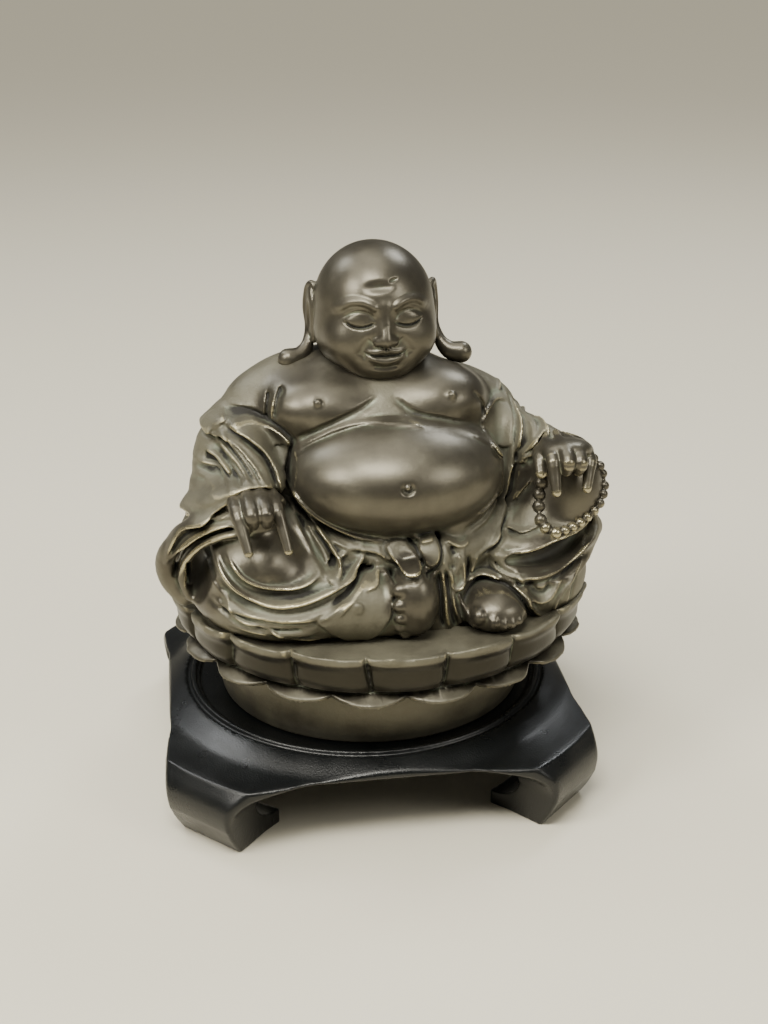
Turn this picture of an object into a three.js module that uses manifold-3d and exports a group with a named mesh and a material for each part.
// A laughing monk seated on a lotus, cast in one with its beads and round foot,
// resting in the recess of a carved and lacquered wood stand.
// Millimetres, +Z up, front toward -Y, origin on the floor under the middle of the whole.
import * as THREE from 'three';
import { mergeVertices } from 'three/addons/utils/BufferGeometryUtils.js';
import Module from 'manifold-3d';

const wasm = await Module();
wasm.setup();

// The casting
const figureHeight = 145;       // from the top of the lotus to the crown of the head
const drumRadius = 68;          // round foot under the lotus
const drumHeight = 24;
const drumBow = 1.6;            // how far the side of the round foot bows out at half its height
const lotusRadius = 92;         // to the lip of the upper petals
const lotusFootRadius = 85;     // where the upper petals start
const petalHeight = 15;         // upper petals, up to the flat top of the lotus
const underHeight = 10;         // round foot up to the upper petals
const lotusOffset = 4;          // the lotus was cast a little to one side of its foot
const petalCount = 18;
const petalSwell = 3.2;         // how far a petal bellies out between its two gaps
const petalCrease = 2.2;        // depth of the gap between two petals
const petalLip = 2;             // how far the rim stands over the flat top
const petalRim = 5;             // width of the raised rim
const lowerPetalReach = 5.2;    // lower petals beyond the foot of the upper ones
const lowerPetalThickness = 4;
const lowerPetalDrop = 2;       // lower petals below the upper ones
const beadRadius = 2.3;
const beadCount = 22;
const robeSink = 4;             // the robe sinks this deep into the top of the lotus
const figureTurn = 2.3;         // degrees that the casting sits turned on its stand
const seatGap = 0.3;            // between the foot and the floor of the recess

// The stand
const recessPlay = 6;           // recess wall clear of the round foot, all round
const recessDepth = 3;
const drumShift = 2.5;          // the foot rests off the middle of its recess
const standHeight = 37.5;
const ringWidth = 5;            // raised ring round the recess
const ringRise = 1;             // and how far it stands over the top
const rimWidth = 14.3;          // recess wall to the middle of a saw-cut side
const rimRound = 14;            // the top of the stand rolls down to its sides
const topThickness = 5;         // wood under the recess
const apronDepth = 7;           // front edge between the feet
const apronRise = 4;            // the lower edge of the apron is this much higher at its middle
const kneeReach = 38;           // recess wall to the knee of a foot, along the diagonal
const legWidth = 34;
const legTaper = 5;             // narrower at the inner end of the toe
const kneeHeight = 28;
const kneeRound = 9;
const toeTuck = 8;              // the outer edge of the toe inside the knee
const toeLength = 25;

// How finely the clay is sampled and how many faces each piece keeps
const figureGrain = figureHeight / 62;
const standGrain = standHeight / 17;
const figureFaces = 6850;
const standFaces = 930;

const FAR = 1e3;
const clamp = (v, a, b) => Math.min(b, Math.max(a, v));
const step01 = (v) => { const t = clamp(v, 0, 1); return t * t * (3 - 2 * t); };
const softMin = (a, b, k) => {
  const h = Math.max(k - Math.abs(a - b), 0);
  return Math.min(a, b) - (k > 0 ? h * h / (4 * k) : 0);
};
const softMax = (a, b, k) => -softMin(-a, -b, k);

// Clay is a block of distances to a surface, negative inside, that forms are added to and cut from.
// Where two forms meet they blend over a drawn length, which is scaled with the whole.
class Clay {
  constructor(low, high, grain, scale) {
    this.low = low;
    this.scale = scale;
    this.grain = grain;
    this.count = low.map((v, i) => Math.ceil((high[i] - v) / grain) + 1);
    this.field = new Float32Array(this.count[0] * this.count[1] * this.count[2]).fill(FAR);
  }

  visit(form, reach, change) {
    const { low, grain, count, field } = this;
    const a = low.map((v, i) => Math.max(0, Math.floor((form.low[i] - reach - v) / grain)));
    const b = low.map((v, i) => Math.min(count[i] - 1, Math.ceil((form.high[i] + reach - v) / grain)));
    for (let k = a[2]; k <= b[2]; k++) {
      for (let j = a[1]; j <= b[1]; j++) {
        for (let i = a[0]; i <= b[0]; i++) {
          const n = i + count[0] * (j + count[1] * k);
          field[n] = change(field[n], low[0] + i * grain, low[1] + j * grain, low[2] + k * grain);
        }
      }
    }
    return this;
  }

  add(form, blend = 0) {
    const k = blend * this.scale;
    return this.visit(form, k + 2 * this.grain, (f, x, y, z) => softMin(f, form.distance(x, y, z), k));
  }

  cut(form, blend = 0) {
    const k = blend * this.scale;
    return this.visit(form, k + 2 * this.grain, (f, x, y, z) => softMax(f, -form.distance(x, y, z), k));
  }

  // Only the surface is carved, not what lies deep inside
  raise(form) {
    const skinDepth = 12 * this.scale;
    return this.visit(form, 0, (f, x, y, z) => (Math.abs(f) < skinDepth ? f - form.rise(x, y, z) : f));
  }

  sample(x, y, z) {
    const { low, grain, count, field } = this;
    const g = [x, y, z].map((v, i) => clamp((v - low[i]) / grain, 0, count[i] - 1.001));
    const [i, j, k] = g.map(Math.floor);
    const [u, v, w] = [g[0] - i, g[1] - j, g[2] - k];
    let sum = 0;
    for (let c = 0; c < 8; c++) {
      const weight = (c & 1 ? u : 1 - u) * (c & 2 ? v : 1 - v) * (c & 4 ? w : 1 - w);
      sum += weight * field[i + (c & 1) + count[0] * (j + (c >> 1 & 1) + count[1] * (k + (c >> 2)))];
    }
    return sum;
  }

  // The depth at which a line from the front meets the clay
  front(x, z, from, to) {
    for (let y = from; y < to; y += this.grain / 4) {
      if (this.sample(x, y, z) < 0) return y;
    }
    return to;
  }
}

// Forms, in the millimetres of the figure at its real height, scaled with it
const u = figureHeight / 145;
const sized = (p) => p.map((v) => v * u);
const placed = (p) => p.map((v, i) => (i === 2 ? v * u - robeSink : v * u));
const drawnAt = (p) => [p[0] * u, p[1] * u - robeSink];

function ellipsoid(center, radii, turn = [0, 0, 0]) {
  const c = placed(center);
  const r = sized(radii);
  const euler = new THREE.Euler(...turn.map(THREE.MathUtils.degToRad));
  const back = new THREE.Matrix4().makeRotationFromEuler(euler).transpose().elements;
  const reach = turn.some((v) => v !== 0) ? r.map(() => Math.max(...r)) : r;
  return {
    low: c.map((v, i) => v - reach[i]),
    high: c.map((v, i) => v + reach[i]),
    distance(x, y, z) {
      const [dx, dy, dz] = [x - c[0], y - c[1], z - c[2]];
      const px = back[0] * dx + back[4] * dy + back[8] * dz;
      const py = back[1] * dx + back[5] * dy + back[9] * dz;
      const pz = back[2] * dx + back[6] * dy + back[10] * dz;
      const near = Math.hypot(px / r[0], py / r[1], pz / r[2]);
      const slope = Math.hypot(px / r[0] ** 2, py / r[1] ** 2, pz / r[2] ** 2);
      return slope < 1e-6 ? -Math.min(...r) : near * (near - 1) / slope;
    },
  };
}

// A smooth run of points through the given ones
function smooth(points, closed = false) {
  if (points.length < 3) return points;
  const parts = closed ? points.length : points.length - 1;
  const at = (i) => points[closed ? (i + points.length) % points.length : clamp(i, 0, points.length - 1)];
  const run = [];
  for (let s = 0; s < parts; s++) {
    for (let t = 0; t < 1; t += 0.25) {
      const [a, b, c, d] = [at(s - 1), at(s), at(s + 1), at(s + 2)];
      run.push(b.map((v, i) => v + 0.5 * t * (c[i] - a[i]
        + t * (2 * a[i] - 5 * v + 4 * c[i] - d[i] + t * (3 * (v - c[i]) + d[i] - a[i])))));
    }
  }
  if (!closed) run.push(points[points.length - 1]);
  return run;
}

// A limb, finger or roll of cloth through points of x, y, z and radius
function tube(points) {
  const run = smooth(points).map(placed);
  const fat = Math.max(...run.map((p) => p[3]));
  return {
    low: [0, 1, 2].map((i) => Math.min(...run.map((p) => p[i])) - fat),
    high: [0, 1, 2].map((i) => Math.max(...run.map((p) => p[i])) + fat),
    distance(x, y, z) {
      let best = FAR;
      for (let s = 1; s < run.length; s++) {
        const a = run[s - 1];
        const b = run[s];
        const [ex, ey, ez] = [b[0] - a[0], b[1] - a[1], b[2] - a[2]];
        const [dx, dy, dz] = [x - a[0], y - a[1], z - a[2]];
        const t = clamp((dx * ex + dy * ey + dz * ez) / (ex * ex + ey * ey + ez * ez), 0, 1);
        const away = Math.hypot(dx - t * ex, dy - t * ey, dz - t * ez) - a[3] - t * (b[3] - a[3]);
        best = Math.min(best, away);
      }
      return best;
    },
  };
}

// Carving is drawn from the front, across and up, and fades out at both ends of the depth it reaches
const fadeDepth = 4 * u;

function drawn(run, grow, depth, rise) {
  const [near, far] = depth.map((v) => v * u);
  const across = run.map((p) => p[0]);
  const up = run.map((p) => p[1]);
  return {
    low: [Math.min(...across) - grow, near, Math.min(...up) - grow],
    high: [Math.max(...across) + grow, far, Math.max(...up) + grow],
    rise: (x, y, z) => clamp(Math.min(y - near, far - y) / fadeDepth, 0, 1) * rise(x, z),
  };
}

// How far a point is from a drawn line, how far along it the nearest point lies, and on which side
function beside(run, s, t) {
  const spot = { away: FAR, along: 0, side: 1 };
  for (let i = 1; i < run.length; i++) {
    const [a, b] = [run[i - 1], run[i]];
    const [ex, ey] = [b[0] - a[0], b[1] - a[1]];
    const m = clamp(((s - a[0]) * ex + (t - a[1]) * ey) / (ex * ex + ey * ey), 0, 1);
    const away = Math.hypot(s - a[0] - m * ex, t - a[1] - m * ey);
    if (away < spot.away) {
      spot.away = away;
      spot.along = (i - 1 + m) / (run.length - 1);
      spot.side = Math.sign(ex * (t - a[1]) - ey * (s - a[0]));
    }
  }
  return spot;
}

const ends = (along, blunt) => Math.min(1, 5 * along + blunt, 5 * (1 - along) + blunt);

// A ridge of cloth, or a groove where the rise is below zero, tapering at both ends
function fold(width, rise, near, far, path) {
  const run = smooth(path).map(drawnAt);
  const [w, h] = [width * u, rise * u];
  return drawn(run, w, [near, far], (s, t) => {
    const { away, along } = beside(run, s, t);
    return away >= w ? 0 : h * ends(along, 0.25) * (1 - (away / w) ** 2) ** 2;
  });
}

// The edge of a layer of cloth that lies over the next one: a step down on the right of the line
function lap(width, rise, near, far, path) {
  const run = smooth(path).map(drawnAt);
  const [w, h, edge] = [width * u, rise * u, 1.4 * u];
  return drawn(run, w, [near, far], (s, t) => {
    const { away, along, side } = beside(run, s, t);
    const over = Math.max(0, 1 - away / w) ** 1.5 * step01(0.5 + 0.5 * side * away / edge);
    const under = Math.max(0, 1 - (side * away / (2 * edge) + 1) ** 2);
    return h * ends(along, 0.1) * (over - 0.5 * under);
  });
}

// A raised layer of cloth inside a closed outline, with a firm edge
function layer(edge, rise, near, far, outline) {
  const run = smooth(outline, true).map(drawnAt);
  run.push(run[0]);
  const [h, w] = [rise * u, edge * u];
  return drawn(run, w, [near, far], (s, t) => {
    const { away } = beside(run, s, t);
    let inside = false;
    for (let i = 1; i < run.length; i++) {
      const [a, b] = [run[i - 1], run[i]];
      if (a[1] > t !== b[1] > t && s < a[0] + (t - a[1]) * (b[0] - a[0]) / (b[1] - a[1])) inside = !inside;
    }
    return h * step01(0.5 + (inside ? away : -away) / w);
  });
}

// The surface of the clay as triangles: every cube of samples is six tetrahedra round one diagonal
function skin(clay) {
  const { low, grain, count, field } = clay;
  const [nx, ny, nz] = count;
  const offset = (c) => (c & 1) + nx * ((c >> 1 & 1) + ny * (c >> 2));
  const orders = [[1, 2, 4, 1], [2, 4, 1, 1], [4, 1, 2, 1], [1, 4, 2, -1], [4, 2, 1, -1], [2, 1, 4, -1]];
  const points = [];
  const faces = [];
  const made = new Map();
  const value = (n) => field[n] || 1e-4;

  const crossing = (n, m) => {
    const [a, b] = n < m ? [n, m] : [m, n];
    const key = a * 8 + [1, 2, 4, 3, 5, 6, 7].find((c) => a + offset(c) === b);
    if (made.has(key)) return made.get(key);
    const t = clamp(value(a) / (value(a) - value(b)), 0.06, 0.94);
    const cell = (i) => [i % nx, Math.floor(i / nx) % ny, Math.floor(i / nx / ny)];
    const [p, q] = [cell(a), cell(b)];
    points.push(p.map((v, i) => low[i] + grain * (v + t * (q[i] - v))));
    made.set(key, points.length - 1);
    return points.length - 1;
  };

  const tetra = (corner, hand) => {
    const inner = corner.filter((n) => value(n) < 0);
    const outer = corner.filter((n) => value(n) >= 0);
    if (!inner.length || !outer.length) return;
    const order = [...inner, ...outer].map((n) => corner.indexOf(n));
    let turn = hand;
    for (let i = 0; i < 4; i++) {
      for (let j = i + 1; j < 4; j++) {
        if (order[i] > order[j]) turn = -turn;
      }
    }
    const ring = inner.length === 2
      ? [[0, 2], [0, 3], [1, 3], [1, 2]]
      : inner.length === 1 ? [[0, 1], [0, 2], [0, 3]] : [[0, 3], [1, 3], [2, 3]];
    const all = [...inner, ...outer];
    const loop = ring.map(([a, b]) => crossing(all[a], all[b]));
    if (turn < 0) loop.reverse();
    for (let i = 2; i < loop.length; i++) faces.push([loop[0], loop[i - 1], loop[i]]);
  };

  for (let k = 0; k < nz - 1; k++) {
    for (let j = 0; j < ny - 1; j++) {
      for (let i = 0; i < nx - 1; i++) {
        const base = i + nx * (j + ny * k);
        let inner = 0;
        for (let c = 0; c < 8; c++) inner += value(base + offset(c)) < 0 ? 1 : 0;
        if (inner === 0 || inner === 8) continue;
        for (const [a, b, , hand] of orders) {
          tetra([base, base + offset(a), base + offset(a | b), base + offset(7)], hand);
        }
      }
    }
  }
  return { points, faces };
}

// Only the largest closed surface is kept, so no crumb or bubble is left beside it
function largest({ points, faces }) {
  const root = points.map((p, i) => i);
  const find = (i) => {
    while (root[i] !== i) i = root[i] = root[root[i]];
    return i;
  };
  for (const [a, b, c] of faces) {
    root[find(a)] = find(b);
    root[find(b)] = find(c);
  }
  const size = new Map();
  for (const [a] of faces) size.set(find(a), (size.get(find(a)) || 0) + 1);
  const keep = [...size].reduce((best, item) => (item[1] > best[1] ? item : best))[0];
  return { points, faces: faces.filter(([a]) => find(a) === keep) };
}

// A heap of edges, cheapest first
class Heap {
  constructor() {
    this.items = [];
  }

  push(item) {
    const { items } = this;
    let i = items.push(item) - 1;
    while (i > 0) {
      const up = (i - 1) >> 1;
      if (items[up].cost <= item.cost) break;
      items[i] = items[up];
      i = up;
    }
    items[i] = item;
  }

  pop() {
    const { items } = this;
    const top = items[0];
    const last = items.pop();
    if (!items.length) return top;
    let i = 0;
    for (;;) {
      let down = 2 * i + 1;
      if (down >= items.length) break;
      if (down + 1 < items.length && items[down + 1].cost < items[down].cost) down += 1;
      if (items[down].cost >= last.cost) break;
      items[i] = items[down];
      i = down;
    }
    items[i] = last;
    return top;
  }
}

const minus = (a, b) => [a[0] - b[0], a[1] - b[1], a[2] - b[2]];
const dot = (a, b) => a[0] * b[0] + a[1] * b[1] + a[2] * b[2];
const cross = (a, b) => [a[1] * b[2] - a[2] * b[1], a[2] * b[0] - a[0] * b[2], a[0] * b[1] - a[1] * b[0]];

// The point where the squared distances to a set of planes are least, or null on a flat
function bestPoint(q) {
  const [a, b, c, d, e, f, g, h, i] = q;
  const det = a * (e * h - f * f) - b * (b * h - f * c) + c * (b * f - e * c);
  if (Math.abs(det) < 1e-4 * (a + e + h) ** 3) return null;
  return [
    (-d * (e * h - f * f) + g * (b * h - c * f) - i * (b * f - c * e)) / det,
    (d * (b * h - f * c) - g * (a * h - c * c) + i * (a * f - b * c)) / det,
    (-d * (b * f - e * c) + g * (a * f - c * b) - i * (a * e - b * b)) / det,
  ];
}

const planeError = (q, [x, y, z]) => x * x * q[0] + 2 * x * y * q[1] + 2 * x * z * q[2] + 2 * x * q[3]
  + y * y * q[4] + 2 * y * z * q[5] + 2 * y * q[6] + z * z * q[7] + 2 * z * q[8] + q[9];

// Edges are closed one by one, the least missed first, until so many faces are left
const shortEdgesFirst = 2e-3;
const narrowestFace = 0.06;
const sharpestTurn = 0.3;

function thin(surface, wanted, care) {
  const at = Float64Array.from(surface.points.flat());
  const face = Int32Array.from(surface.faces.flat());
  const near = surface.points.map(() => []);
  const plane = new Float64Array(surface.points.length * 10);
  const age = new Int32Array(surface.points.length);
  const mark = new Int32Array(surface.points.length);
  const alive = new Uint8Array(surface.faces.length).fill(1);
  const point = (v) => [at[3 * v], at[3 * v + 1], at[3 * v + 2]];

  surface.faces.forEach((corners, f) => {
    const [a, b, c] = corners.map(point);
    const n = cross(minus(b, a), minus(c, a));
    const area = Math.hypot(n[0], n[1], n[2]);
    if (area > 0) {
      const [x, y, z] = [n[0] / area, n[1] / area, n[2] / area];
      const w = -(x * a[0] + y * a[1] + z * a[2]);
      const terms = [x * x, x * y, x * z, x * w, y * y, y * z, y * w, z * z, z * w, w * w];
      const weight = area * care(a);
      for (const v of corners) {
        for (let i = 0; i < 10; i++) plane[10 * v + i] += terms[i] * weight;
      }
    }
    for (const v of corners) near[v].push(f);
  });

  const heap = new Heap();
  const sum = new Float64Array(10);
  const offer = (a, b) => {
    for (let i = 0; i < 10; i++) sum[i] = plane[10 * a + i] + plane[10 * b + i];
    const [p, r] = [point(a), point(b)];
    const middle = [(p[0] + r[0]) / 2, (p[1] + r[1]) / 2, (p[2] + r[2]) / 2];
    const span = Math.hypot(p[0] - r[0], p[1] - r[1], p[2] - r[2]);
    let to = bestPoint(sum);
    if (!to || Math.hypot(to[0] - middle[0], to[1] - middle[1], to[2] - middle[2]) > 1.5 * span) {
      to = middle;
      if (planeError(sum, p) < planeError(sum, to)) to = p;
      if (planeError(sum, r) < planeError(sum, to)) to = r;
    }
    const cost = Math.max(planeError(sum, to), 0) + shortEdgesFirst * span ** 3;
    heap.push({ cost, a, b, to, age: age[a] + age[b] });
  };

  // Whether moving a corner would turn one of its faces over or squeeze it flat
  const turns = (v, other, to) => {
    for (const f of near[v]) {
      const corners = [face[3 * f], face[3 * f + 1], face[3 * f + 2]];
      if (!alive[f] || corners.includes(other)) continue;
      const i = corners.indexOf(v);
      const p = point(corners[(i + 1) % 3]);
      const q = point(corners[(i + 2) % 3]);
      const before = cross(minus(p, point(v)), minus(q, point(v)));
      const after = cross(minus(p, to), minus(q, to));
      const [e, g, h] = [minus(p, to), minus(q, to), minus(p, q)];
      const long = Math.max(dot(e, e), dot(g, g), dot(h, h));
      const size = Math.sqrt(dot(after, after));
      if (size < narrowestFace * long) return true;
      if (dot(before, after) < sharpestTurn * size * Math.sqrt(dot(before, before))) return true;
    }
    return false;
  };

  const shared = (a, b) => {
    for (const f of near[a]) {
      if (alive[f]) for (let i = 0; i < 3; i++) mark[face[3 * f + i]] = 1;
    }
    let both = 0;
    for (const f of near[b]) {
      if (!alive[f]) continue;
      for (let i = 0; i < 3; i++) {
        const v = face[3 * f + i];
        if (mark[v] === 1 && v !== a && v !== b) {
          both += 1;
          mark[v] = 2;
        }
      }
    }
    for (const f of near[a]) for (let i = 0; i < 3; i++) mark[face[3 * f + i]] = 0;
    return both;
  };

  for (let f = 0; f < alive.length; f++) {
    for (let i = 0; i < 3; i++) {
      const [a, b] = [face[3 * f + i], face[3 * f + (i + 1) % 3]];
      if (a < b) offer(a, b);
    }
  }

  let left = alive.length;
  while (left > wanted && heap.items.length) {
    const { a, b, to, age: offered } = heap.pop();
    if (age[a] < 0 || age[b] < 0 || age[a] + age[b] !== offered) continue;
    if (shared(a, b) !== 2 || turns(a, b, to) || turns(b, a, to)) continue;
    for (const f of near[b]) {
      if (!alive[f]) continue;
      const i = [0, 1, 2].find((c) => face[3 * f + c] === b);
      if (face[3 * f] === a || face[3 * f + 1] === a || face[3 * f + 2] === a) {
        alive[f] = 0;
        left -= 1;
      } else {
        face[3 * f + i] = a;
        near[a].push(f);
      }
    }
    near[a] = near[a].filter((f) => alive[f]);
    near[b] = [];
    for (let i = 0; i < 3; i++) at[3 * a + i] = to[i];
    for (let i = 0; i < 10; i++) plane[10 * a + i] += plane[10 * b + i];
    age[a] += age[b] + 1;
    age[b] = -1;
    mark[a] = 1;
    for (const f of near[a]) {
      for (let i = 0; i < 3; i++) {
        const v = face[3 * f + i];
        if (mark[v] === 0) {
          mark[v] = 1;
          offer(a, v);
        }
      }
    }
    for (const f of near[a]) for (let i = 0; i < 3; i++) mark[face[3 * f + i]] = 0;
  }
  const faces = [];
  for (let f = 0; f < alive.length; f++) {
    if (alive[f]) faces.push([face[3 * f], face[3 * f + 1], face[3 * f + 2]]);
  }
  return { points: surface.points.map((p, v) => point(v)), faces };
}

// Meshes and solids
function solid(geometry) {
  const plain = geometry.clone();
  plain.deleteAttribute('normal');
  plain.deleteAttribute('uv');
  const merged = mergeVertices(plain, 1e-4);
  const mesh = new wasm.Mesh({
    numProp: 3,
    vertProperties: Float32Array.from(merged.attributes.position.array),
    triVerts: Uint32Array.from(merged.index.array),
  });
  return new wasm.Manifold(mesh);
}

function clayGeometry({ points, faces }) {
  const geometry = new THREE.BufferGeometry();
  geometry.setAttribute('position', new THREE.Float32BufferAttribute(points.flat(), 3));
  geometry.setIndex(faces.flat());
  return geometry;
}

function meshOf(name, body, material) {
  const { vertProperties, triVerts } = body.getMesh();
  const geometry = new THREE.BufferGeometry();
  geometry.setAttribute('position', new THREE.BufferAttribute(vertProperties, 3));
  geometry.setIndex(new THREE.BufferAttribute(triVerts, 1));
  const mesh = new THREE.Mesh(geometry, material);
  mesh.name = name;
  return mesh;
}

const slab = (width, low, high) => solid(new THREE.BoxGeometry(width, width, high - low)
  .translate(0, 0, (low + high) / 2));

// The lotus and the round foot under it, with the flat top of the lotus at z = 0
const lotusHeight = petalHeight + underHeight;
const castingBottom = -lotusHeight - drumHeight;
const petalPitch = 360 / petalCount;
const firstGap = -12.5;         // degrees from the front, toward +X
const phaseOf = (x, y, start) => {
  const turns = (THREE.MathUtils.radToDeg(Math.atan2(x, -y)) - start) / petalPitch;
  return turns - Math.floor(turns) - 0.5;
};
const round = (radius, low, high, distance) => ({
  low: [-radius, -radius, low],
  high: [radius, radius, high],
  distance,
});

const upperPetals = round(lotusRadius + petalRim / 2, -lotusHeight, petalLip, (x, y, z) => {
  const phase = phaseOf(x, y, firstGap);
  const belly = 1 - Math.abs(2 * phase) ** 2.6;
  const crease = Math.exp(-(((0.5 - Math.abs(phase)) / 0.045) ** 2));
  const rise = clamp(z / petalHeight + 1, 0, 1);
  const under = clamp(z / underHeight + lotusHeight / underHeight, 0, 1);
  const foot = drumRadius + (lotusFootRadius - drumRadius) * under ** 1.6;
  const edge = foot + (lotusRadius - petalSwell - lotusFootRadius) * rise ** 0.8
    + (petalSwell * belly * (0.45 + 0.55 * rise) - petalCrease * crease) * under ** 8;
  const r = Math.hypot(x, y);
  const top = petalLip * (0.3 + 0.7 * belly) * step01((r - edge) / petalRim + 1.4);
  return Math.max(0.9 * (r - edge), z - top, -lotusHeight - z);
});

// Broad leaves under the gaps between the upper petals, their tips bent down
const leafReach = lotusFootRadius + lowerPetalReach + lowerPetalThickness;
const lowerPetals = round(leafReach, -petalHeight - underHeight, -petalHeight, (x, y, z) => {
  const phase = phaseOf(x, y, firstGap - petalPitch / 2);
  const out = Math.hypot(x, y) - lotusFootRadius;
  const tip = lowerPetalReach * (1 - 0.75 * Math.abs(2 * phase));
  const bend = 0.75 * Math.max(out, -lowerPetalDrop);
  const middle = -petalHeight - lowerPetalDrop * (1 + 0.6 * Math.abs(phase)) - bend;
  const thick = Math.abs(z - middle) - lowerPetalThickness / 2;
  return 0.75 * Math.max(out - tip, thick, -2 * lowerPetalReach - out);
});

const drumLow = castingBottom - 2 * drumBow;
const drum = round(drumRadius + lotusOffset, drumLow, -lotusHeight, (x, y, z) => {
  const rise = clamp((z - castingBottom) / drumHeight, 0, 1);
  const edge = drumRadius - drumBow * (2 * rise - 1) ** 2;
  return Math.max(Math.hypot(x + lotusOffset, y) - edge, z + lotusHeight - drumBow, drumLow - z);
});

// The monk, in millimetres from the middle of the lotus top: center, radii and blend of each mass
function sculptTrunk(clay) {
  clay.add(ellipsoid([0, 10, 20], [72, 54, 30]));
  clay.add(ellipsoid([0, 10, 48], [57, 42, 42]), 12);
  clay.add(ellipsoid([-21, 6, 81], [40, 27, 23.5]), 8);
  clay.add(ellipsoid([19, 6, 73], [41, 27, 23]), 8);
  clay.add(ellipsoid([-25, -14, 86], [23, 20, 14]), 7);
  clay.add(ellipsoid([22, -14, 86], [22, 20, 14]), 7);
  clay.add(ellipsoid([0, 2, 95], [23, 20, 12]), 8);
  clay.add(ellipsoid([0, -4, 62], [54, 38, 41]), 6);
  clay.add(ellipsoid([2.3, -32, 60.7], [44.5, 35, 24.3]), 2);
}

function sculptArms(clay) {
  clay.add(tube([[-50, 3, 78, 15], [-61, -2, 64, 16.5], [-64, -10, 50, 14]]), 7);
  clay.add(tube([[48, 4, 68, 15], [58, -2, 56, 17], [66, -10, 44, 15]]), 8);
  clay.add(tube([[-64, -10, 48, 15], [-61, -34, 52, 12], [-57, -46, 55, 9]]), 6);
  clay.add(tube([[60, -6, 52, 14], [65, -22, 60, 12], [70, -32, 63, 9]]), 6);
}

function sculptLegs(clay) {
  clay.add(ellipsoid([-42, -30, 16], [42, 42, 20]), 8);
  clay.add(tube([[-34, 0, 26, 20], [-56, -40, 31, 19]]), 8);
  clay.add(ellipsoid([-57, -44, 31], [21, 21, 17]), 3);
  clay.add(tube([[-54, -46, 22, 15], [-28, -58, 18, 14], [-6, -62, 14, 11]]), 6);
  clay.add(tube([[36, 4, 34, 22], [70, -20, 46, 18]]), 8);
  clay.add(ellipsoid([74.5, -27, 47], [17.5, 20, 22]), 4);
  clay.add(tube([[70, -26, 40, 17], [58, -40, 26, 16], [42, -52, 12, 13]]), 6);
  clay.add(ellipsoid([55, -18, 12], [32, 44, 24]), 8);
}

// Cloth and sash in the lap
function sculptLap(clay) {
  clay.add(ellipsoid([13, -42, 12], [24, 24, 26]), 5);
  clay.add(tube([[-40, -36, 40, 7], [-22, -48, 36, 7], [0, -54, 34, 7], [16, -56, 33, 7], [32, -48, 33, 7],
    [44, -36, 38, 7]]), 5);
  clay.add(ellipsoid([13, -56, 31], [9, 7, 8]), 4);
}

// The wide sleeve beside the right knee, its end over the hand, and the open fold under the left knee
function sculptSleeves(clay) {
  clay.add(tube([[-62, -14, 48, 13], [-73, -12, 34, 12], [-79, -16, 23, 11.5]]), 5);
  clay.add(tube([[-60, -50, 54, 4], [-73, -45, 49, 4.6], [-85, -36, 40.5, 5], [-91.5, -30, 30, 5.2],
    [-90.5, -28, 20, 5.2], [-86, -31, 13, 4]]), 3);
  clay.add(tube([[-62, -54, 50, 2.5], [-71, -51, 47.5, 2.6], [-78, -47, 43, 2.8], [-83.5, -42, 36, 3],
    [-86, -36, 26, 3], [-84, -36, 16, 2.5]]), 2);
  clay.cut(ellipsoid([-80, -46, 27.5], [4.2, 17, 13.5], [0, 14, 0]), 1.5);
  clay.add(tube([[-80, -18, 48, 4], [-75, -34, 53, 4], [-68, -43, 57.5, 4], [-61, -45, 62, 3.5],
    [-54, -44, 63, 3]]), 3);
  clay.add(tube([[41, -50, 33, 4], [58, -52, 30, 6], [76, -44, 30, 7], [87, -28, 28, 6]]), 4);
  clay.add(tube([[40, -55, 31, 2.5], [50, -60, 22, 3], [66, -56, 18, 3], [80, -44, 22, 3],
    [88, -30, 30, 2.5]]), 2);
  clay.cut(tube([[45, -62, 28.5, 2], [54, -61, 27.4, 4], [64, -58, 27.6, 5], [75, -50, 30, 4.6],
    [85, -38, 34, 3]]), 1.5);
}

// Both hands rest on the knees, first and last finger stretched and the two between folded
function sculptHands(clay) {
  clay.add(ellipsoid([-56, -46, 57], [13, 15, 7], [-24, 0, 0]), 2);
  clay.add(tube([[-65, -46, 60, 2.8], [-65, -59, 60, 2.9], [-62, -70, 47, 2]]), 1.2);
  clay.add(tube([[-60, -46, 62, 2.8], [-60, -61, 61, 3], [-59, -67, 53, 2.7]]), 1.2);
  clay.add(tube([[-55, -46, 62, 2.8], [-54.5, -61, 61, 3], [-54, -67, 53, 2.7]]), 1.2);
  clay.add(tube([[-50, -46, 60, 2.8], [-49.5, -59, 60, 2.7], [-46.5, -69, 46, 2]]), 1.2);
  clay.add(ellipsoid([70, -38, 67], [13, 15, 7], [-28, 0, 0]), 2);
  clay.add(tube([[64, -38, 70, 2.8], [63, -51, 69, 2.8], [63, -58, 57, 2]]), 1.2);
  clay.add(tube([[69, -40, 71, 2.8], [68.5, -52, 69, 3], [68, -56, 62, 2.7]]), 1.2);
  clay.add(tube([[74, -40, 70, 2.8], [74, -51, 68, 3], [73.5, -55, 61, 2.7]]), 1.2);
  clay.add(tube([[79, -36, 68, 2.8], [80, -47, 66, 2.7], [77, -54, 56, 2]]), 1.2);
}

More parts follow.
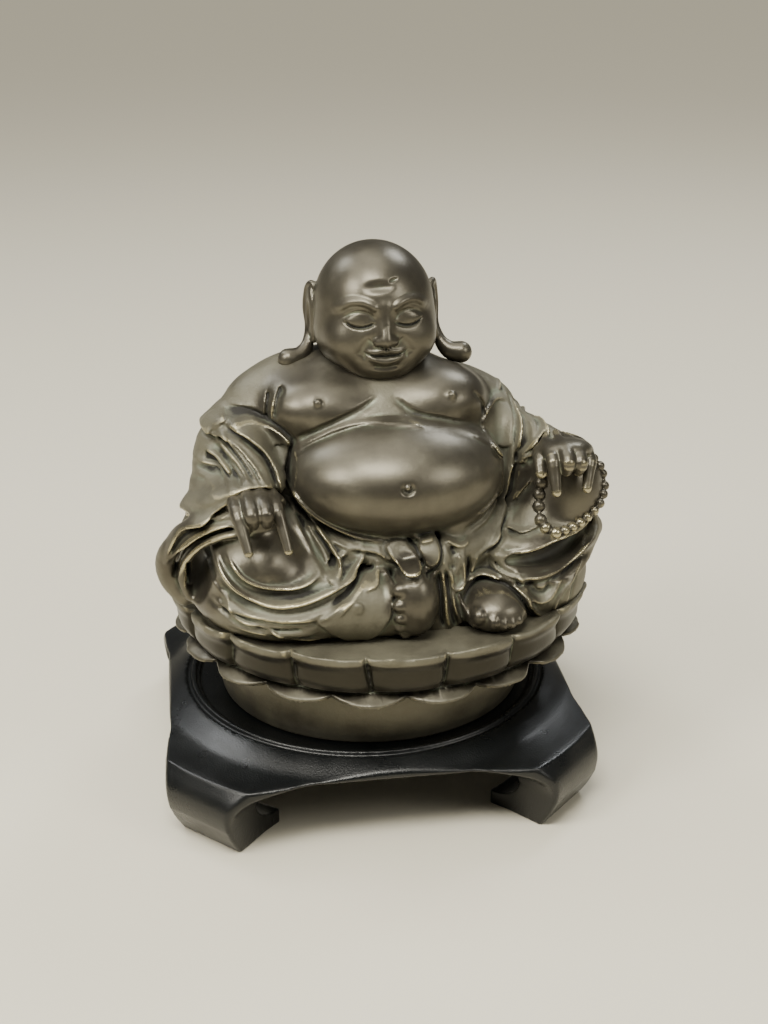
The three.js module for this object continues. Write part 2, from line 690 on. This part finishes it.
// The right foot shows its sole, the left one its back
function sculptFeet(clay) {
  clay.add(ellipsoid([3, -66, 19], [10, 12, 15]), 3);
  clay.add(ellipsoid([37, -63, 11], [14, 14, 9]), 3);
  for (let toe = 0; toe < 5; toe++) {
    const upright = [-3.4 + 0.4 * toe, -74.5 + toe, 27 - 4.6 * toe];
    clay.add(ellipsoid(upright, [4.2 - 0.3 * toe, 4, 3.2 - 0.2 * toe]), 1);
    const level = [28 + 4.3 * toe, -75.5 + toe, 9.6 - 0.8 * toe];
    clay.add(ellipsoid(level, [3.6 - 0.3 * toe, 4.4, 3.6 - 0.2 * toe]), 1);
  }
}

function sculptHead(clay) {
  const lean = [0, -1, 0];
  clay.add(ellipsoid([-0.2, 0, 124], [24.6, 27, 25.5], lean), 3);
  clay.add(ellipsoid([0, -3, 112.5], [24.8, 24, 17.5], lean), 6);
  clay.add(ellipsoid([0, -17, 103.5], [13, 9.5, 7]), 6);
  for (const side of [-1, 1]) {
    clay.add(ellipsoid([12.5 * side, -17, 113], [8.5, 7.5, 7.5]), 5);
    clay.cut(ellipsoid([9.6 * side, -28.6, 124.1], [6.6, 4.6, 4]), 2.5);
    clay.add(ellipsoid([9.6 * side, -21.2, 122.8], [5.8, 4.4, 3.4]), 0.8);
    clay.add(tube([[3.5 * side, -26.5, 125.5, 1.2], [9.5 * side, -24.8, 130, 1.5],
      [17 * side, -20, 128, 1]]), 1.5);
    clay.add(ellipsoid([3.1 * side, -27.2, 114.7], [2.2, 2.6, 2]), 1);
    sculptEar(clay, side);
  }
  clay.add(tube([[0, -25.4, 128, 1.7], [0, -27, 122.5, 2], [0, -29.2, 116, 2.8],
    [0, -29.6, 115, 2.6]]), 1.2);
  clay.add(ellipsoid([0, -23.8, 108.6], [8, 4, 4]), 2.5);
  clay.raise(fold(1.6, -1.6, -40, -10, [[-8, 109], [-3, 108.6], [3, 108.6], [8, 109]]));
}

// A long ear with a hollow inside its rim and a heavy lobe turned out on the shoulder
function sculptEar(clay, side) {
  const drop = side > 0 ? 2.2 : 0;
  const at = (points) => points.map(([x, y, z, r]) => [side * x, y, z - drop, r]);
  clay.add(tube(at([[24.5, 4, 131, 2.2], [26.5, 8, 128, 2.6], [27.5, 8, 118, 2.6], [29, 3.5, 109, 2.5],
    [33, 1, 104.6, 3.6], [37.6, 0, 103.4, 4.4]])), 1.5);
  clay.cut(tube(at([[28, 0, 127, 1.2], [29, 0, 121, 1.6], [29, 0, 115, 1.2]])), 1);
}

// Folds and edges of the robe: kind, width, rise, nearest and furthest depth, and the line
const cloth = [
  // The lapel over the right arm and the fan of folds beside it
  [layer, 2, 2, -60, 4, [[-64.5, 81.7], [-55.6, 83.4], [-49.9, 81.8], [-41.5, 77.2], [-39.5, 73.3],
    [-41.2, 65.8], [-43.3, 57.3], [-45.4, 55.2], [-46.7, 64.2], [-48.3, 69.2], [-51.5, 74.1], [-57.3, 78.8]]],
  [lap, 7, 2.2, -50, 6, [[-76, 77], [-70, 77], [-64, 78.6]]],
  [lap, 7, 2.4, -50, 4, [[-69, 78.6], [-60.2, 73.9], [-54.4, 68], [-46.7, 56.1]]],
  [lap, 7, 2.4, -50, 4, [[-73.5, 69.8], [-65.1, 68.4], [-57.3, 63.2], [-49, 56]]],
  [lap, 6, 2, -50, 4, [[-77.8, 62.5], [-68, 63.2], [-59.5, 62.6], [-46.2, 53.6]]],
  [lap, 8, 2.4, -62, -8, [[-84, 47.2], [-74.7, 53.8], [-68.1, 59], [-62.5, 63.8], [-57.6, 65.1],
    [-46, 59]]],
  // Folds round the right knee and over the shin
  [lap, 7, 2.4, -90, -24, [[-69.5, 43], [-65.2, 35.4], [-58.4, 31.9], [-44.1, 30], [-34.5, 32.4]]],
  [fold, 3, -2.6, -90, -24, [[-66.5, 33.4], [-58.8, 28.2], [-44.1, 26.4], [-29, 30.3]]],
  [fold, 2.6, 1.6, -90, -24, [[-72.9, 37], [-67.3, 27], [-51.9, 23.4], [-36.4, 25.4], [-20.3, 31],
    [-15.7, 37.8]]],
  [fold, 3, -2.8, -90, -24, [[-73.5, 30], [-60, 20], [-43.7, 19.4], [-27, 24.2], [-14.5, 32]]],
  [lap, 6, 1.8, -90, -24, [[-75.9, 21.3], [-65, 18.4], [-50, 16.8], [-34, 17.6]]],
  [lap, 6, 1.6, -90, -24, [[-70, 12.5], [-50, 9.6], [-36.4, 10.5]]],
  [layer, 2, 2, -90, -24, [[-36.7, 16.4], [-30.3, 9.2], [-24.6, 4.6], [-18.8, 4], [-13.4, 6.3],
    [-7.7, 16.2], [-5.4, 27.9], [-8.5, 31.5], [-22, 26.5]]],
  [lap, 6, 1.8, -80, -24, [[-31.5, 30.5], [-34.5, 37], [-41, 50]]],
  [fold, 2.6, 1.8, -80, -24, [[-43, 60.5], [-36.4, 53.5], [-28.8, 48], [-8, 41.4]]],
  [layer, 2, 1.8, -80, -24, [[-37, 44.5], [-32, 46], [-25, 35.6], [-31.2, 31]]],
  // The sash and its knot
  [layer, 2, 2, -80, -30, [[-6.8, 40], [-5.6, 36.4], [0.8, 32], [4.6, 33.4], [5, 39], [-2, 42]]],
  [layer, 2, 2.4, -80, -30, [[7, 40.2], [7.6, 35], [11, 32], [15, 34.4], [15.4, 40], [11, 43]]],
  [layer, 2, 1.8, -80, -30, [[18.4, 31], [19.3, 24], [22.4, 21], [25, 24], [24.7, 33], [20.6, 37]]],
  [fold, 2.6, -2, -90, -30, [[14.6, 29.6], [15.4, 18], [16.6, 5]]],
  [fold, 2.4, 1.8, -90, -30, [[18.4, 29], [19.6, 18], [22, 5]]],
  // The bare chest and belly
  [fold, 2.6, 1, -80, -4, [[-41.6, 66.5], [-36, 74.8], [-14.3, 84.4], [9.3, 84.5], [34, 77.5], [46.2, 65]]],
  [fold, 3, -1.4, -70, -4, [[-3.7, 92], [-19.2, 85.8], [-36.8, 77.2]]],
  [fold, 3, -1.4, -70, -4, [[2.6, 91.4], [13.6, 84.8], [33.3, 78.2]]],
  [fold, 2.4, -1.8, -60, 8, [[-43, 96], [-45.4, 90], [-46.4, 83]]],
  [fold, 2.4, -2, -60, 8, [[35.7, 91.5], [39.6, 86], [40.6, 78]]],
  // The robe down the left side, with its rosette, and the folds of the left arm
  [fold, 2.4, 2, -60, 0, [[52.9, 67.2], [52, 57], [49.2, 47.2], [39.8, 35.9], [27.5, 31.2]]],
  [fold, 2.4, -2.6, -60, 0, [[56, 66], [54.6, 54], [47.6, 39], [33, 29.3]]],
  [layer, 2, 2.2, -60, 4, [[39.3, 81.7], [42.8, 83.4], [50.3, 82], [61.7, 76.3], [57.6, 71.8], [49.4, 67.2],
    [41.8, 73]]],
  [lap, 7, 2.2, -60, 4, [[53.7, 67.2], [57, 70.5], [64.5, 79]]],
  [lap, 6, 2.2, -60, 4, [[53.2, 65.2], [58.9, 69.6], [71, 73.2]]],
  [lap, 6, 1.8, -60, 0, [[51.3, 54.6], [59, 62.7], [64, 64.4]]],
  // The hem round the left foot
  [fold, 2.4, 1.8, -80, -20, [[46.7, 25.1], [49.2, 18.6], [57.1, 11.3], [66, 19.8]]],
  [fold, 2.6, 2.2, -90, -30, [[20, 19.5], [33.4, 23.8], [44.9, 21], [52.6, 10], [57.4, 4]]],
  [fold, 2.4, -2.2, -90, -30, [[24.4, 15.8], [34.3, 20.9], [44.3, 18.3], [50.9, 8], [54.5, 3.6]]],
  // The collar across the back
  [lap, 9, 2.4, 14, 60, [[50, 82], [24, 92], [0, 97], [-24, 101], [-50, 92]]],
];

function carve(clay) {
  for (const [kind, ...stroke] of cloth) clay.raise(kind(...stroke));
  // Folds that hang down the back
  for (let i = 0; i < 11; i++) {
    const across = -50 + 10 * i + 3 * Math.sin(2.4 * i);
    const path = [[0.45 * across, 96], [0.8 * across, 64], [1.15 * across, 30], [1.25 * across, 2]];
    clay.raise(fold(4.5, 1.7 + 0.5 * Math.sin(1.7 * i), 16, 72, path));
  }
}

// The string of beads hangs from the left hand over the knee
const beadString = [[62.7, 63.7], [61.6, 54.6], [59.9, 45.8], [59.8, 40], [65, 35.3], [77, 36.3], [87, 42],
  [90.6, 49.2], [90.2, 55], [85.6, 61.4]];

function beads(clay) {
  const bead = new THREE.IcosahedronGeometry(beadRadius);
  const path = new THREE.CatmullRomCurve3(beadString.map((p) => new THREE.Vector3(...drawnAt(p), 0)));
  return path.getSpacedPoints(beadCount - 1).map(({ x, y: z }) => {
    const y = clay.front(x, z, -80 * u, -20 * u);
    return solid(bead.clone().translate(x, y - 0.35 * beadRadius, z));
  });
}

// Faces are dearer where the eye looks: the face, and the hands and feet
function care([x, y, z]) {
  const face = z > 94 * u && y < -8 * u;
  const hands = y < -50 * u && z > 36 * u && Math.abs(x) > 44 * u;
  return face ? 4 : hands ? 3 : 1;
}

function casting() {
  const wide = Math.max(lotusRadius + petalRim, 102 * u);
  const clay = new Clay([-wide, -wide, castingBottom - 10 * u], [wide, wide, 154 * u], figureGrain, u);
  sculptTrunk(clay);
  sculptArms(clay);
  sculptLegs(clay);
  sculptLap(clay);
  sculptSleeves(clay);
  sculptFeet(clay);
  carve(clay);
  sculptHands(clay);
  sculptHead(clay);
  clay.add(upperPetals, 1).add(lowerPetals, 1).add(drum, 2);
  const body = solid(clayGeometry(thin(largest(skin(clay)), figureFaces, care)));
  const strung = beads(clay).reduce((whole, bead) => whole.add(bead), body);
  return strung.subtract(slab(4 * lotusRadius, castingBottom - drumHeight, castingBottom));
}

// The stand, the same in all four quarters, with a foot on each diagonal
const recessRadius = drumRadius + recessPlay;
const recessFloor = standHeight - recessDepth;
const standSide = recessRadius + rimWidth;
const rimTop = standHeight - ringRise;
const legReach = recessRadius + kneeReach;
const toeEnd = legReach - toeTuck - toeLength;

const rounded = (out, up, radius) => Math.hypot(Math.max(out + radius, 0), Math.max(up + radius, 0))
  + Math.min(Math.max(out + radius, up + radius), 0) - radius;

const standBody = {
  low: [-legReach, -legReach, -topThickness],
  high: [legReach, legReach, standHeight],
  distance(x, y, z) {
    const [ax, ay] = [Math.abs(x), Math.abs(y)];
    const r = Math.hypot(x, y);
    const along = (ax + ay) / Math.SQRT2;
    const across = Math.abs(ax - ay) / Math.SQRT2;
    const tuck = toeTuck * clamp(1 - z / (kneeHeight - kneeRound), 0, 1.2) ** 1.7;
    const roll = rounded(r - standSide - 0.26 * rimRound, z - rimTop, rimRound);
    const knee = rounded(along - legReach + tuck, z - kneeHeight, kneeRound);
    const wood = softMin(roll, knee, 0.85 * rimRound);
    const half = legWidth / 2 - legTaper / 2 * clamp((legReach - along) / toeLength, 0, 1);
    const hollow = Math.max(r - toeEnd, z - recessFloor + topThickness);
    const apron = standHeight - apronDepth - apronRise * step01(1 - (across - half) / toeLength);
    const arch = softMax(half - across, z - apron, legWidth / 3);
    const curlHeight = kneeHeight / 3;
    const curl = Math.hypot(2 * (along - toeEnd) / toeLength, (z - 0.57 * kneeHeight) / curlHeight) - 1;
    return Math.max(wood, -Math.min(hollow, arch, curlHeight * curl), -topThickness - z);
  },
};

// The saw-cut sides run in a shallow curve from the middle of each apron out to the corners of the feet
function sawCut() {
  const [far, near] = [1, -1].map((side) => (legReach + side * legWidth / 2) / Math.SQRT2);
  const spots = [];
  for (let quarter = 0; quarter < 4; quarter++) {
    for (let step = -6; step <= 6; step++) {
      const t = step / 5;
      const spot = new THREE.Vector2(standSide + (far - standSide) * t * t, near * t);
      spots.push(spot.rotateAround(new THREE.Vector2(), quarter * Math.PI / 2));
    }
  }
  const depth = 2 * standHeight;
  const block = new THREE.ExtrudeGeometry(new THREE.Shape(spots), { depth, bevelEnabled: false });
  return solid(block.translate(0, 0, -depth / 4));
}

function stand() {
  const wide = legReach + kneeRound;
  const [low, high] = [[-wide, -wide, -2 * topThickness], [wide, wide, standHeight + topThickness]];
  const clay = new Clay(low, high, standGrain, 1);
  clay.add(standBody);
  const body = solid(clayGeometry(thin(largest(skin(clay)), standFaces, () => 1)));
  const section = (points) => solid(new THREE.LatheGeometry(points.map((p) => new THREE.Vector2(...p)), 48)
    .rotateX(Math.PI / 2));
  const outer = recessRadius + ringWidth;
  const foot = recessFloor - topThickness / 2;
  const lip = standHeight - 0.8 * ringRise;
  const ring = section([[0, foot], [outer, foot], [outer, rimTop - 0.4 * ringRise],
    [outer - 1.4 * ringRise, standHeight], [recessRadius + ringRise, standHeight], [recessRadius, lip],
    [0, lip], [0, foot]]);
  const recess = section([[0, recessFloor], [recessRadius, recessFloor], [recessRadius, 2 * standHeight],
    [0, 2 * standHeight], [0, recessFloor]]);
  return body.intersect(sawCut()).add(ring).subtract(recess).subtract(slab(4 * standSide, -standHeight, 0));
}

const bronze = new THREE.MeshStandardMaterial({ color: 0x5b5546, roughness: 0.42, metalness: 0.9 });
const lacquer = new THREE.MeshStandardMaterial({ color: 0x15181a, roughness: 0.3, metalness: 0 });

const budai = new THREE.Group();
const figure = meshOf('figure', casting(), bronze);
figure.position.set(drumShift + lotusOffset, 0, recessFloor + seatGap - castingBottom);
figure.rotation.z = THREE.MathUtils.degToRad(figureTurn);
budai.add(figure, meshOf('stand', stand(), lacquer));

// The origin comes under the middle of the whole
const box = new THREE.Box3().setFromObject(budai, true);
budai.position.set(-(box.min.x + box.max.x) / 2, -(box.min.y + box.max.y) / 2, 0);

export default budai;
